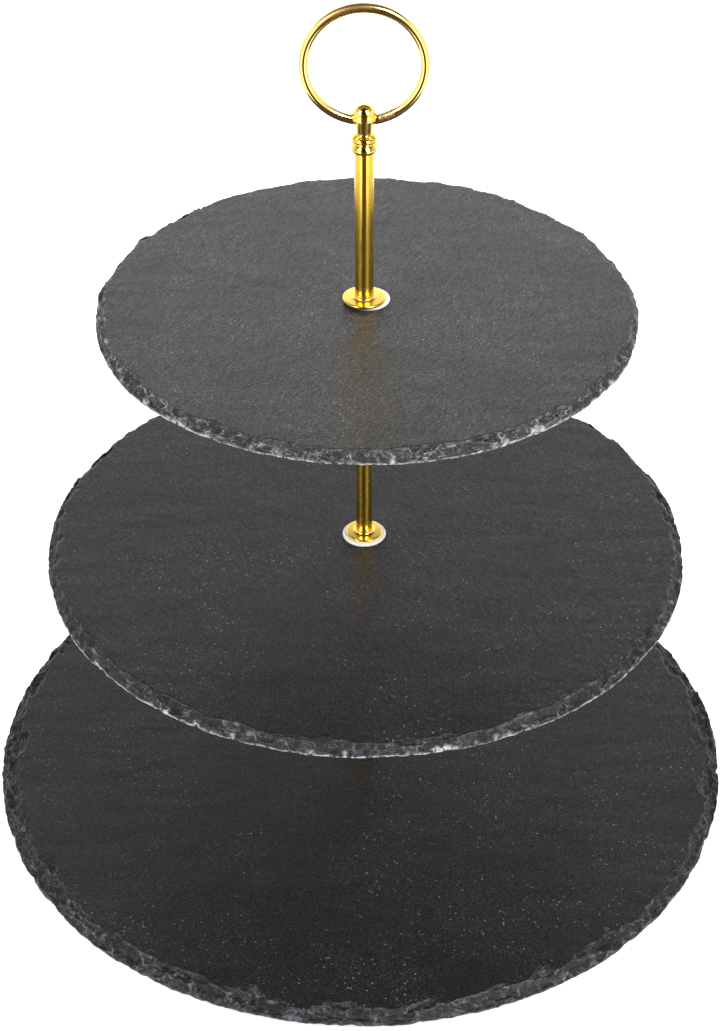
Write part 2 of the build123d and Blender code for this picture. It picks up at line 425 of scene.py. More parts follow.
def slate_finish(name, dark, light, turn, chip, line_colour, crush, sheen):
    material, bench = new_material(name)
    place = bench.node("ShaderNodeTexCoord").outputs["Object"]
    stone = place_group(
        bench,
        BEDDING,
        {
            "Vector": place,
            "Turn": turn,
            "Streak Scale": STREAK_SCALE,
            "Grain Scale": GRAIN_SCALE,
        },
    )
    fine_mica = place_group(
        bench,
        MICA,
        {"Vector": place, "Fleck Scale": 1500.0, "Rarity": 0.5, "Fleck Size": 0.5},
    )["Fleck"]
    bright_mica = place_group(
        bench,
        MICA,
        {"Vector": place, "Fleck Scale": 1000.0, "Rarity": 0.88, "Fleck Size": 0.42},
    )["Fleck"]
    chipped = read_attribute(bench, "chipped")
    crushed = read_attribute(bench, "crushed")
    facet = read_attribute(bench, "facet")
    layered = read_attribute(bench, "layered")
    flake = bench.node("ShaderNodeAttribute", attribute_name="flake").outputs["Vector"]

    # the split face: streaks, grain and slow clouds of tone
    streak_tone = bench.between(stone["Streak"], 0.3, 0.72)
    face_colour = bench.tint(streak_tone, dark, light)
    grain_tone = bench.between(stone["Grain"], 0.3, 0.7, 0.35, 1.65)
    cloud_tone = bench.between(stone["Cloud"], 0.3, 0.7, 0.84, 1.16)
    toned = bench.scaled(face_colour, bench.product(grain_tone, cloud_tone))
    gather = bench.between(stone["Cloud"], 0.4, 0.66, 0.2, 1.0)
    # mica specks are painted into the colour as bright glints
    glint = colour(*(part * 3.0 + 0.03 for part in light[:3]))
    toned = bench.tint(bench.product(fine_mica, gather), toned, glint)
    toned = bench.tint(bench.product(bright_mica, gather), toned, colour(*MICA_GLINT))

    # the chips: each facet has its own tone
    chip_tone = bench.between(facet, 0.15, 0.85, 0.4, 1.35, smooth=False)
    chip_grain = bench.between(bench.noise(place, 1500.0, 4.0, 0.8), 0.32, 0.68, 0.4, 1.8)
    chip_colour = bench.scaled(chip, bench.product(chip_tone, chip_grain))

    # thin light lines along the chips' edges, the bedding steps and the lip of the face: pale
    # broken stone, brightened into painted highlights
    chip_scale = read_attribute(bench, "chip_scale")
    step = bench.math("FRACT", layered)
    step_start = bench.between(step, 0.7, 0.8)
    lines = bench.product(step_start, bench.between(step, 0.84, 0.95, 0.55, 0.0))
    for smaller, sharp, soft, strength in (
        (1.0, 0.01, 0.055, 1.0),
        (SMALL_CHIPS, 0.005, 0.06, 0.6),
        (TINY_CHIPS, 0.0, 0.09, 0.5),
    ):
        edge = bench.cells(flake, bench.product(chip_scale, smaller), "DISTANCE_TO_EDGE")[0]
        line = bench.between(edge, sharp, soft, strength, 0.0)
        lines = bench.math("MAXIMUM", lines, line)
    lip = bench.product(chipped, bench.math("SUBTRACT", 1.0, chipped))
    lines = bench.math("MAXIMUM", lines, bench.product(lip, 2.6))
    break_up = bench.between(bench.noise(place, 300.0, 5.0, 0.75), 0.44, 0.62, 0.12, 1.0)
    lines = bench.product(lines, break_up)
    chip_colour = bench.tint(lines, chip_colour, line_colour)
    toned = bench.tint(chipped, toned, chip_colour)

    # the crushed lower edge is nearly white: stone bruised pale by the hammer, and a painted
    # highlight along the edge
    crush_highlight_break = bench.between(bench.noise(place, 450.0, 4.0, 0.75), 0.4, 0.58)
    crush_highlight_mask = bench.product(crushed, crush_highlight_break)
    final = bench.tint(crush_highlight_mask, toned, crush)

    # streaks and bright mica are smoother than the chips, and the grain breaks up the sheen
    rough = bench.between(stone["Streak"], 0.34, 0.7, 0.46, 0.34)
    rough = bench.blend(chipped, rough, 0.6)
    rough = bench.blend(bright_mica, rough, 0.25)
    grain_sheen = bench.between(stone["Grain"], 0.3, 0.7, sheen * 0.7, sheen * 1.35)
    shine = bench.blend(chipped, grain_sheen, 0.2)
    bump = bench.node(
        "ShaderNodeBump", {"Strength": 0.5, "Distance": 0.00012, "Height": stone["Height"]}
    )
    return surface(
        bench,
        material,
        {
            "Base Color": final,
            "Roughness": rough,
            "Specular IOR Level": shine,
            "Normal": bump.outputs[0],
        },
    )


# the middle and lower plates get darker face, chip and edge-line colours than the upper plate:
# painted shade from the plates above them
SLATE_LOOKS = {
    "upper": {
        "dark": colour(0.0122, 0.0122, 0.0128),
        "light": colour(0.0270, 0.0270, 0.0282),
        "turn": -1.01,
        "chip": (0.0118, 0.0122, 0.0142),
        "line_colour": colour(0.25, 0.255, 0.265),
        "crush": colour(0.42, 0.43, 0.45),
        "sheen": 0.39,
    },
    "middle": {
        "dark": colour(0.0042, 0.0041, 0.0053),
        "light": colour(0.0102, 0.0099, 0.0127),
        "turn": 1.03,
        "chip": (0.0098, 0.0100, 0.0118),
        "line_colour": colour(0.12, 0.123, 0.131),
        "crush": colour(0.42, 0.43, 0.45),
        "sheen": 0.37,
    },
    "lower": {
        "dark": colour(0.0044, 0.0043, 0.0053),
        "light": colour(0.0106, 0.0103, 0.0125),
        "turn": -0.8,
        "chip": (0.0080, 0.0082, 0.0098),
        "line_colour": colour(0.12, 0.123, 0.132),
        "crush": colour(0.11, 0.115, 0.125),
        "sheen": 0.4,
    },
}
SLATE = {tier: slate_finish(f"slate {tier}", **look) for tier, look in SLATE_LOOKS.items()}
print("slate finishes:", ", ".join(m.name for m in SLATE.values()))

# %% [markdown]
# ## The slate blank
#
# A blank is a flat disc with a drilled hole. Its mesh is rings of points from the hole out to
# the rim, down the rim and back in underneath. The rim needs points every half millimetre to
# hold its chips and the middle doesn't, so a ring nearer the middle has half as many points
# as the one outside it, and triangles close the step. `side` is 1 on the upper face, 0 on
# the lower face, and in between on the walls.

# %% Build the blank from rings
RIM_STEP = 0.5 * MM
BAND_STEP = 2.4 * MM
MIDDLE_STEP = 4.0 * MM
RIM_CROWDING = 1.15


def ring_radii(radius, hole, fine_band):
    """Radii from the hole to the rim, each with the number of times its points are halved."""
    rings = [(hole, 2)]
    inner_end = 0.5 * radius
    for r in np.arange(hole + 2.0 * MM, inner_end, MIDDLE_STEP):
        rings.append((float(r), 2))
    for r in np.arange(inner_end, radius - fine_band, BAND_STEP):
        rings.append((float(r), 1))
    steps = int(fine_band / RIM_STEP)
    for i in range(steps + 1):
        share = i / steps
        rings.append((radius - fine_band * (1.0 - share) ** RIM_CROWDING, 0))
    return rings


def slate_blank(name, radius, thick, hole, around, fine_band):
    upper = ring_radii(radius, hole, fine_band)
    under = [(radius - step * MM, 0) for step in (0.0, 0.5, 1.2, 2.5)]
    under += [(radius - 5 * MM, 1), (radius - 10 * MM, 2)]
    under += [(radius * share, 2) for share in (0.8, 0.65, 0.5, 0.35, 0.2, 0.1)]
    under += [(hole, 2)]
    rings = [(r, halved, 1.0) for r, halved in upper]
    rings += [(radius, 0, 0.66), (radius, 0, 0.33)]
    rings += [(r, halved, 0.0) for r, halved in under]
    rings += [(hole, 2, 0.5)]

    points, sides, starts, counts = [], [], [], []
    for r, halved, side in rings:
        count = around >> halved
        turn = np.arange(count) * (2.0 * math.pi / count)
        starts.append(len(points))
        counts.append(count)
        z = thick * side
        points += [(r * math.cos(a), r * math.sin(a), z) for a in turn]
        sides += [side] * count

    faces = []
    total = len(rings)
    for i in range(total):
        j = (i + 1) % total
        a0, an, b0, bn = starts[i], counts[i], starts[j], counts[j]
        if an == bn:
            for k in range(an):
                n = (k + 1) % an
                faces.append((a0 + k, b0 + k, b0 + n, a0 + n))
        elif bn == 2 * an:
            for k in range(an):
                n = (k + 1) % an
                p, q, r = b0 + 2 * k, b0 + 2 * k + 1, b0 + (2 * k + 2) % bn
                faces += [(a0 + k, p, q), (a0 + k, q, a0 + n), (a0 + n, q, r)]
        else:
            for k in range(bn):
                n = (k + 1) % bn
                p, q, r = a0 + 2 * k, a0 + 2 * k + 1, a0 + (2 * k + 2) % an
                faces += [(b0 + k, q, p), (b0 + k, b0 + n, q), (b0 + n, r, q)]
    mesh = new_mesh(name, points, faces)
    side_layer = mesh.attributes.new("side", "FLOAT", "POINT")
    side_layer.data.foreach_set("value", sides)
    mesh.validate()
    mesh.update()
    return add_object(name, mesh)


# %% [markdown]
# ## Knapping
#
# A hammer blow takes a shallow shell-shaped flake off the rim, and the next blow overlaps it,
# so the rim is a row of scoops with sharp ridges between them. The distance to the nearest
# cell centre, squared, is just that: a bowl in each cell and a ridge where two cells meet. The
# tree adds large and small bowls to a slope that rises inwards from the lower edge, cuts the
# slope into thin steps because slate breaks along its bedding, and keeps whatever is lower:
# the slope or the plate's upper face.

# %% Geometry tree: knapped slate


def finish_tree(b, shape, material):
    """Makes the tree's result one real mesh in its material."""
    shape = b.node("GeometryNodeRealizeInstances", {"Geometry": shape}).outputs[0]
    shape = b.node(
        "GeometryNodeSetMaterial", {"Geometry": shape, "Material": material}
    ).outputs[0]
    b.node("NodeGroupOutput", {"Geometry": shape})


def knapping_tree():
    tree = bpy.data.node_groups.new("knapped slate", "GeometryNodeTree")
    add_inputs(
        tree,
        {
            "Geometry": ("NodeSocketGeometry", None),
            "Radius mm": (FLOAT, 100.0),
            "Thickness mm": (FLOAT, 5.0),
            "Bevel mm": (FLOAT, 4.0),
            "Chip mm": (FLOAT, 4.0),
            "Chip Stretch": (FLOAT, 2.0),
            "Bowl mm": (FLOAT, 2.2),
            "Bite mm": (FLOAT, 1.2),
            "Layer mm": (FLOAT, 0.6),
            "Seed": (FLOAT, 1.0),
            "Slate": ("NodeSocketMaterial", None),
        },
    )
    add_outputs(tree, {"Geometry": "NodeSocketGeometry"})
    b = Bench(tree)
    given = b.node("NodeGroupInput").outputs
    side = b.node(
        "GeometryNodeInputNamedAttribute", {"Name": "side"}, data_type="FLOAT"
    ).outputs["Attribute"]
    spot = b.scaled(b.node("GeometryNodeInputPosition").outputs[0], 1000.0)
    x, y, z = b.split(spot)
    reach = b.vector("LENGTH", b.combine(x, y, 0.0))
    outward = b.scaled(b.combine(x, y, 0.0), b.math("DIVIDE", 1.0, reach))
    seed_shift = b.combine(b.product(given["Seed"], 37.0), 0.0, given["Seed"])
    rim_line = b.vector("ADD", b.scaled(outward, given["Radius mm"]), seed_shift)
    inward = b.math("SUBTRACT", given["Radius mm"], reach)
    wall = b.product(b.math("SUBTRACT", 1.0, side), given["Thickness mm"])
    depth = b.combine(0.0, 0.0, b.math("SUBTRACT", inward, wall))
    short_rim = b.scaled(rim_line, b.math("DIVIDE", 1.0, given["Chip Stretch"]))
    unfolded = b.vector("ADD", short_rim, depth)

    # the blows: large and small bowls on a slightly stirred surface
    stir = b.vector("SUBTRACT", b.noise_vector(unfolded, 0.35, 3.0), (0.5, 0.5, 0.5))
    stirred = b.vector("ADD", unfolded, b.scaled(stir, 5.0))
    chip_scale = b.math("DIVIDE", 1.0, given["Chip mm"])
    big = b.cells(stirred, chip_scale)
    small = b.cells(stirred, b.math("DIVIDE", SMALL_CHIPS, given["Chip mm"]))
    big_bowl = b.product(b.math("POWER", big["Distance"], 2.0), given["Bowl mm"])
    small_depth = b.product(given["Bowl mm"], 0.32)
    small_bowl = b.product(b.math("POWER", small["Distance"], 2.0), small_depth)
    grit = b.product(b.noise(unfolded, 1.6, 3.0, 0.7), 0.5)

    # the slope they sit on, which wanders in and out round the rim
    wander = b.between(b.noise(rim_line, 0.045, 3.0, 0.6), 0.3, 0.7, -0.35, 0.5)
    bevel = b.product(given["Bevel mm"], b.total(wander, 1.0))
    slope = b.math("DIVIDE", b.math("SUBTRACT", given["Thickness mm"], 0.4), bevel)
    rise = b.product(inward, slope)
    height = b.total(b.total(rise, big_bowl), b.total(small_bowl, grit))

    # bedding layers turn the slope into thin uneven steps
    drift = b.product(b.noise(rim_line, 0.11, 2.0), 2.2)
    layered = b.math("DIVIDE", b.total(height, drift), given["Layer mm"])
    whole = b.math("FLOOR", layered)
    part = b.between(b.math("SUBTRACT", layered, whole), 0.5, 0.95)
    step_height = b.product(b.total(whole, part), given["Layer mm"])
    stepped = b.math("SUBTRACT", step_height, drift)
    slope_height = b.math("MAXIMUM", b.blend(0.75, height, stepped), 0.5)

    # the split face dips by a hair, but stays true under the hardware
    face_dip = b.noise(b.vector("MULTIPLY", spot, (0.03, 0.09, 0.0)), 1.0, 4.0, 0.55)
    away = b.between(reach, 10.0, 18.0)
    face_dip = b.product(face_dip, away, 0.34)
    face_height = b.math("SUBTRACT", given["Thickness mm"], face_dip)
    top = b.math("MINIMUM", face_height, slope_height)
    floor_rise = b.between(inward, 0.0, 4.0, 0.22, 0.03)
    floor_height = b.product(b.noise(spot, 0.5, 3.0, 0.6), floor_rise)
    new_z = b.blend(side, floor_height, top)

    # the outline is bitten where a blow went right through
    bites = b.cells(b.vector("ADD", rim_line, b.scaled(stir, 3.0)), 0.19)
    bite = b.math("POWER", b.math("SUBTRACT", 1.0, bites["Distance"]), 2.0)
    bite = b.total(bite, b.product(b.noise(rim_line, 0.4, 3.0, 0.7), 0.8))
    strong_part = b.between(b.noise(rim_line, 0.03, 2.0), 0.35, 0.65, 0.35, 1.0)
    bite = b.product(bite, strong_part)
    near_rim = b.between(inward, 0.0, 9.0, 1.0, 0.0)
    pull = b.product(bite, given["Bite mm"], near_rim)
    wall_chip = b.product(b.noise(spot, 1.3, 2.0), 0.5)
    wall_band = b.product(b.math("SUBTRACT", 1.0, side), side)
    pull = b.total(pull, b.product(wall_chip, wall_band, near_rim))
    new_reach = b.math("SUBTRACT", reach, pull)
    moved = b.vector("ADD", b.scaled(outward, new_reach), b.combine(0.0, 0.0, new_z))

    # masks for the material
    sunk = b.math("SUBTRACT", face_height, slope_height)
    chipped = b.product(b.between(sunk, 0.02, 0.3), b.between(side, 0.05, 0.3))
    low_edge = b.between(new_z, 0.3, 0.85, 1.0, 0.0)
    patches = b.between(b.noise(rim_line, 0.16, 2.0), 0.55, 0.7, 0.0, 1.6)
    low_patch = b.product(b.between(new_z, 0.8, 2.6, 1.0, 0.0), patches)
    low_edge = b.math("MINIMUM", b.math("MAXIMUM", low_edge, low_patch), 1.0)
    # the lower edge: bruised pale stone that the material also paints as a highlight
    crushed = b.product(low_edge, b.between(inward, 0.5, 2.4, 1.0, 0.0))
    big_tone, small_tone = b.split(big["Color"])[0], b.split(small["Color"])[0]
    facet = b.total(b.product(big_tone, 0.6), b.product(small_tone, 0.4))

    shape = given["Geometry"]
    for name, value in (
        ("chipped", chipped),
        ("crushed", crushed),
        ("facet", facet),
        ("layered", layered),
        ("chip_scale", chip_scale),
        ("flake", stirred),
    ):
        shape = b.node(
            "GeometryNodeStoreNamedAttribute",
            {"Geometry": shape, "Name": name, "Value": value},
            data_type="FLOAT_VECTOR" if name == "flake" else "FLOAT",
            domain="POINT",
        ).outputs[0]
    shape = b.node(
        "GeometryNodeSetPosition", {"Geometry": shape, "Position": b.scaled(moved, MM)}
    ).outputs[0]
    finish_tree(b, shape, given["Slate"])
    return tree


KNAPPING = knapping_tree()
print("tree", KNAPPING.name, len(KNAPPING.nodes), "nodes")

# %% Run a geometry tree and keep its mesh


def run_tree(host, tree, values):
    """Runs the tree on the host object and leaves a plain mesh with the result."""
    modifier = host.modifiers.new(tree.name, "NODES")
    modifier.node_group = tree
    for socket in tree.interface.items_tree:
        if socket.in_out == "INPUT" and socket.name in values:
            modifier[socket.identifier] = values[socket.name]
    bpy.context.view_layer.update()
    shown = host.evaluated_get(bpy.context.evaluated_depsgraph_get())
    mesh = bpy.data.meshes.new_from_object(shown)
    host.modifiers.clear()
    old = host.data
    host.data = mesh
    if old is not None and old.users == 0:
        bpy.data.meshes.remove(old)
    mesh.name = host.name
    return host


# %% [markdown]
# ## The three plates
#
# The plates differ as real ones do: the larger the plate, the wider and softer its knapped
# band. The bevel is that band's width, a chip is one flake's size, the bowl is the depth of
# its scoop, the bite is how far the outline is broken, and a layer is one bedding step. Each
# plate gets its own seed, so no two rims match.

# %% Make the plates
PLATES = {
    "upper": {"Bevel mm": 3.6, "Chip mm": 4.0, "Bowl mm": 3.2, "Bite mm": 1.0, "Layer mm": 0.6},
    "middle": {"Bevel mm": 4.8, "Chip mm": 4.4, "Bowl mm": 3.4, "Bite mm": 1.1, "Layer mm": 0.65},
    "lower": {"Bevel mm": 8.0, "Chip mm": 5.0, "Bowl mm": 3.8, "Bite mm": 1.3, "Layer mm": 0.7},
}
SEEDS = {"upper": 3.0, "middle": 7.0, "lower": 12.0}
RIM_POINTS = {"upper": 1200, "middle": 1408, "lower": 1600}
HOLE_RADIUS = 3.6 * MM
FINE_BAND = 15.0 * MM
CHIP_STRETCH = 2.9
for tier, cut in PLATES.items():
    size = measure(f"{tier}_plate")
    thick = size["high"] - size["low"]
    plate = slate_blank(
        f"slate_{tier}", size["radius"], thick, HOLE_RADIUS, RIM_POINTS[tier], FINE_BAND
    )
    values = {
        "Radius mm": size["radius"] / MM,
        "Thickness mm": thick / MM,
        "Chip Stretch": CHIP_STRETCH,
        "Seed": SEEDS[tier],
        "Slate": SLATE[tier],
    }
    run_tree(plate, KNAPPING, {**values, **cut})
    plate.data.transform(Matrix.Translation((size["x"], size["y"], size["low"])))
    plate.data.shade_smooth()
    hand_over(plate, f"{tier}_plate", "slate")

# %% [markdown]
# ## Gold-coloured plating
#
# Thin bright plating over steel mirrors the room. It isn't perfect: a film from handling
# dulls it in patches, fine rub marks run along the posts, and the brazed joint of the ring is
# rough and coppery. The posts are drawn tube, so their shine is spread round them and not
# along them, which the anisotropic setting gives. The base colour is the metal's own
# reflection colour, so it does most of the work, and roughness and a small bump do the rest.

# %% Material: gold plating
BRAZE_DARK = (0.22, 0.10, 0.03)
BRAZE_BRIGHT = (0.95, 0.62, 0.38)
RUBBED_METAL = (0.42, 0.27, 0.09)


def plating_finish(name, base, rough_low, rough_high, worn=False, drawn=False):
    material, bench = new_material(name)
    place = bench.node("ShaderNodeTexCoord").outputs["Object"]
    marks = place_group(
        bench, HANDLING, {"Vector": place, "Film Scale": 110.0, "Rub Scale": 1500.0}
    )
    deep = colour(base[0] * 0.93, base[1] * 0.88, base[2] * 0.72)
    tone = bench.tint(marks["Film"], base, deep)
    rough = bench.blend(marks["Film"], rough_low, rough_high)
    rub = bench.between(marks["Rub"], 0.3, 0.75, -0.03, 0.05)
    rough = bench.total(rough, rub)
    height = marks["Rub"]
    if worn:
        braze = read_attribute(bench, "braze")
        rubbed = read_attribute(bench, "rubbed")
        speck = bench.between(bench.noise(place, 900.0, 4.0, 0.75), 0.4, 0.62)
        braze_colour = bench.tint(speck, colour(*BRAZE_DARK), colour(*BRAZE_BRIGHT))
        tone = bench.tint(braze, tone, braze_colour)
        tone = bench.tint(rubbed, tone, colour(*RUBBED_METAL))
        rough = bench.blend(braze, rough, 0.42)
        rough = bench.blend(rubbed, rough, 0.4)
        height = bench.blend(braze, height, bench.product(speck, 8.0))
    bump = bench.node(
        "ShaderNodeBump", {"Strength": 0.2, "Distance": 0.00002, "Height": height}
    )
    fed = {"Base Color": tone, "Roughness": rough, "Normal": bump.outputs[0]}
    if not drawn:
        return surface(bench, material, fed, Metallic=1.0)
    round_axis = bench.node("ShaderNodeTangent", direction_type="RADIAL", axis="Z")
    fed["Tangent"] = round_axis.outputs[0]
    return surface(
        bench, material, fed, Metallic=1.0, Anisotropic=0.85, Anisotropic_Rotation=0.25
    )


GOLD = plating_finish("gold plating", colour(0.93, 0.67, 0.16), 0.07, 0.12)
POST_GOLD = plating_finish(
    "gold plating, drawn post", colour(0.96, 0.64, 0.10), 0.16, 0.21, drawn=True
)
FLANGE_GOLD = plating_finish("gold plating, flange", colour(0.95, 0.67, 0.15), 0.19, 0.26)
RING_GOLD = plating_finish(
    "gold plating, worn ring", colour(0.95, 0.76, 0.29), 0.04, 0.08, worn=True
)
print("metal finishes:", [m.name for m in (GOLD, POST_GOLD, FLANGE_GOLD, RING_GOLD)])

# %% [markdown]
# ## Pads and feet
#
# The white pads are soft silicone that lets a little light in, so they use some subsurface
# light. The feet are matt black rubber. Both get a fine skin grain instead of a flat colour.

# %% Materials: silicone and rubber


def soft_finish(name, base, shade, rough, glow=0.0):
    material, bench = new_material(name)
    place = bench.node("ShaderNodeTexCoord").outputs["Object"]
    skin = bench.noise(place, 1600.0, 3.0, 0.6)
    cloud = bench.between(bench.noise(place, 180.0, 2.0), 0.3, 0.7)
    tone = bench.tint(cloud, base, shade)
    rough_map = bench.between(skin, 0.3, 0.7, rough - 0.06, rough + 0.06)
    bump = bench.node(
        "ShaderNodeBump", {"Strength": 0.3, "Distance": 0.00004, "Height": skin}
    )
    return surface(
        bench,
        material,
        {"Base Color": tone, "Roughness": rough_map, "Normal": bump.outputs[0]},
        Subsurface_Weight=glow,
        Subsurface_Scale=0.001,
    )


SILICONE = soft_finish(
    "white silicone", colour(0.92, 0.91, 0.88), colour(0.86, 0.85, 0.82), 0.45, 0.25
)
RUBBER = soft_finish(
    "black rubber", colour(0.020, 0.020, 0.021), colour(0.030, 0.030, 0.031), 0.7
)
print("soft finishes:", SILICONE.name, "|", RUBBER.name)

# %% [markdown]
# ## Turned pieces
#
# Posts, flanges, washers, collar and feet are all round, so each is an outline spun about the
# post's axis. Real turned edges are never knife sharp: `ease_corners` replaces each corner of
# an outline with a small arc, and that arc is what catches the light.

# %% Lathe helpers
ON_AXIS = 1e-7
TOO_SHORT = 1e-6
NEARLY_STRAIGHT = 0.995
CORNER_SHARE = 0.45


def bent(start, pull, end, steps):
    """Points on a curve from start to end that bends towards a third point."""
    shares = [s / steps for s in range(steps + 1)]
    return [tuple(start * (1 - t) ** 2 + pull * 2 * t * (1 - t) + end * t**2) for t in shares]


def ease_corners(outline, radius, steps=4):
    """Rounds the corners of a closed outline of (radius, height) points."""
    eased = []
    count = len(outline)
    for i in range(count):
        before = Vector(outline[i - 1])
        corner = Vector(outline[i])
        after = Vector(outline[(i + 1) % count])
        if corner.x < ON_AXIS:
            eased.append(tuple(corner))
            continue
        to_before, to_after = before - corner, after - corner
        room = min(radius, to_before.length * CORNER_SHARE, to_after.length * CORNER_SHARE)
        bend = abs(to_before.normalized().dot(to_after.normalized()))
        if room < TOO_SHORT or bend > NEARLY_STRAIGHT:
            eased.append(tuple(corner))
            continue
        first = corner + to_before.normalized() * room
        last = corner + to_after.normalized() * room
        eased += bent(first, corner, last, steps)
    return eased


def arc_points(start, middle, end, steps=8):
    """Points on a soft curve that starts and ends at two points and is pulled to a third."""
    return bent(Vector(start), Vector(middle), Vector(end), steps)


def spin(name, outline, material, axis=(0.0, 0.0), segments=96, sharp=40.0):
    """Spins a closed outline of (radius, height) about an upright axis."""
    points, faces, rings = [], [], []
    for r, z in outline:
        if r < ON_AXIS:
            rings.append([len(points)])
            points.append((axis[0], axis[1], z))
            continue
        rings.append(list(range(len(points), len(points) + segments)))
        for k in range(segments):
            a = 2.0 * math.pi * k / segments
            points.append((axis[0] + r * math.cos(a), axis[1] + r * math.sin(a), z))
    for i, ring in enumerate(rings):
        other = rings[(i + 1) % len(rings)]
        for k in range(segments):
            n = (k + 1) % segments
            if len(ring) == 1 and len(other) == 1:
                break
            if len(ring) == 1:
                faces.append((ring[0], other[k], other[n]))
            elif len(other) == 1:
                faces.append((ring[k], other[0], ring[n]))
            else:
                faces.append((ring[k], other[k], other[n], ring[n]))
    mesh = new_mesh(name, points, faces)
    work = bmesh.new()
    work.from_mesh(mesh)
    bmesh.ops.remove_doubles(work, verts=work.verts, dist=1e-8)
    bmesh.ops.recalc_face_normals(work, faces=work.faces)
    work.to_mesh(mesh)
    work.free()
    mesh.materials.append(material)
    mesh.shade_smooth()
    mesh.set_sharp_from_angle(angle=math.radians(sharp))
    return add_object(name, mesh)


# %% Posts
BORE = 2.05 * MM
POST_EDGE = 0.3 * MM
for tier in TIERS:
    size = measure(f"{tier}_post_tube")
    outline = [
        (BORE, size["low"]),
        (size["radius"], size["low"]),
        (size["radius"], size["high"]),
        (BORE, size["high"]),
    ]
    post = spin(f"post_{tier}", ease_corners(outline, POST_EDGE), POST_GOLD)
    hand_over(post, f"{tier}_post_tube", "gold_metal")

# %% [markdown]
# ## Flanges
#
# Each post stands on a small turned foot soldered to it: a flat disc with a rounded rim, and a
# short hollow curve that sweeps up into the post.

# %% Flared flanges
TUBE_GAP = 0.05 * MM
LIP_THICK = 0.03 * MM
DISC_THICK = 1.2 * MM
FLARE_WIDE = 1.25 * MM
FLARE_TALL = 1.4 * MM
FLARE_TUCK = 0.08 * MM
RIM_ROUND = 0.7 * MM
for tier in TIERS:
    size = measure(f"{tier}_post_flange")
    z, top, r = size["low"], size["high"], size["radius"]
    bore = measure(f"{tier}_post_tube")["radius"] + TUBE_GAP
    lip = bore + LIP_THICK
    rim = z + DISC_THICK
    foot = (lip + FLARE_WIDE, rim + 0.04 * MM)
    flare = arc_points(foot, (lip + FLARE_TUCK, rim + FLARE_TUCK), (lip, rim + FLARE_TALL), 18)
    edge = arc_points((r, z + 0.75 * MM), (r, rim + 0.02 * MM), (r - RIM_ROUND, rim), 6)
    outline = [(bore, z), (r - 0.25 * MM, z), (r, z + 0.3 * MM)] + edge + flare
    outline += [(lip, top), (bore, top)]
    flange = spin(f"flange_{tier}", ease_corners(outline, 0.12 * MM), FLANGE_GOLD, sharp=50.0)
    hand_over(flange, f"{tier}_post_flange", "gold_metal")

# %% [markdown]
# ## Washers and pads
#
# White pads keep metal off stone above and below each plate. A metal washer spreads the load
# on each tube's end. A pad pressed under a flange bulges a little, so its outline is rounder
# than a punched washer's.

# %% Washers and pads
PAD_HOLE = 3.9 * MM
PAD_SHIFT = {"upper": (0.4 * MM, 0.9 * MM)}
WASHER_HOLE = 2.15 * MM
PRESSED_PAD_EDGE = 0.45 * MM
FREE_PAD_EDGE = 0.4 * MM
METAL_EDGE = 0.15 * MM


def flat_ring(name, node, hole, soften, material, slot, shift=(0.0, 0.0)):
    """A washer. A shifted one is smaller by its sideways shift, so it stays in its place."""
    size = measure(node)
    radius = size["radius"] - shift[0]
    outline = [
        (hole, size["low"]),
        (radius, size["low"]),
        (radius, size["high"]),
        (hole, size["high"]),
    ]
    axis = (size["x"] + shift[0], size["y"] + shift[1])
    piece = spin(name, ease_corners(outline, soften, 5), material, axis=axis)
    hand_over(piece, node, slot)


for tier in TIERS:
    shift = PAD_SHIFT.get(tier, (0.0, 0.0))
    over, under = f"{tier}_top_washer", f"{tier}_under_washer"
    flat_ring(f"pad_over_{tier}", over, PAD_HOLE, PRESSED_PAD_EDGE, SILICONE, "white_pad", shift)
    flat_ring(f"pad_under_{tier}", under, PAD_HOLE, FREE_PAD_EDGE, SILICONE, "white_pad")
for name, node in (
    ("washer_base", "base_screw_washer"),
    ("washer_middle", "middle_seat_washer"),
    ("washer_upper", "upper_seat_washer"),
):
    flat_ring(name, node, WASHER_HOLE, METAL_EDGE, GOLD, "gold_metal")

# %% Rubber feet
FOOT_EDGE = 0.8 * MM
FOOT_SIDE = ((0.62, 0.0), (0.86, 0.55 * MM), (0.93, 1.6 * MM))  # share of the radius, height
for number in range(1, 5):
    node = f"foot_{number}"
    size = measure(node)
    r, low, high = size["radius"], size["low"], size["high"]
    outline = [(0.0, low)] + [(r * share, low + up) for share, up in FOOT_SIDE]
    outline += [(r, high - 0.5 * MM), (r, high), (0.0, high)]
    eased = ease_corners(outline, FOOT_EDGE, 5)
    axis = (size["x"], size["y"])
    foot = spin(f"rubber_foot_{number}", eased, RUBBER, axis=axis, segments=64)
    hand_over(foot, node, "black_rubber")

# %% [markdown]
# ## Threads
#
# The studs, the base screw and the finial's spigot carry an M4 thread. A thread is one shape
# that follows one path: a V-shaped ridge swept along a helix. The tree draws the helix with a
# Spiral curve, sweeps a small triangle along it and sets it on a plain core.

# %% Geometry tree: threaded rod


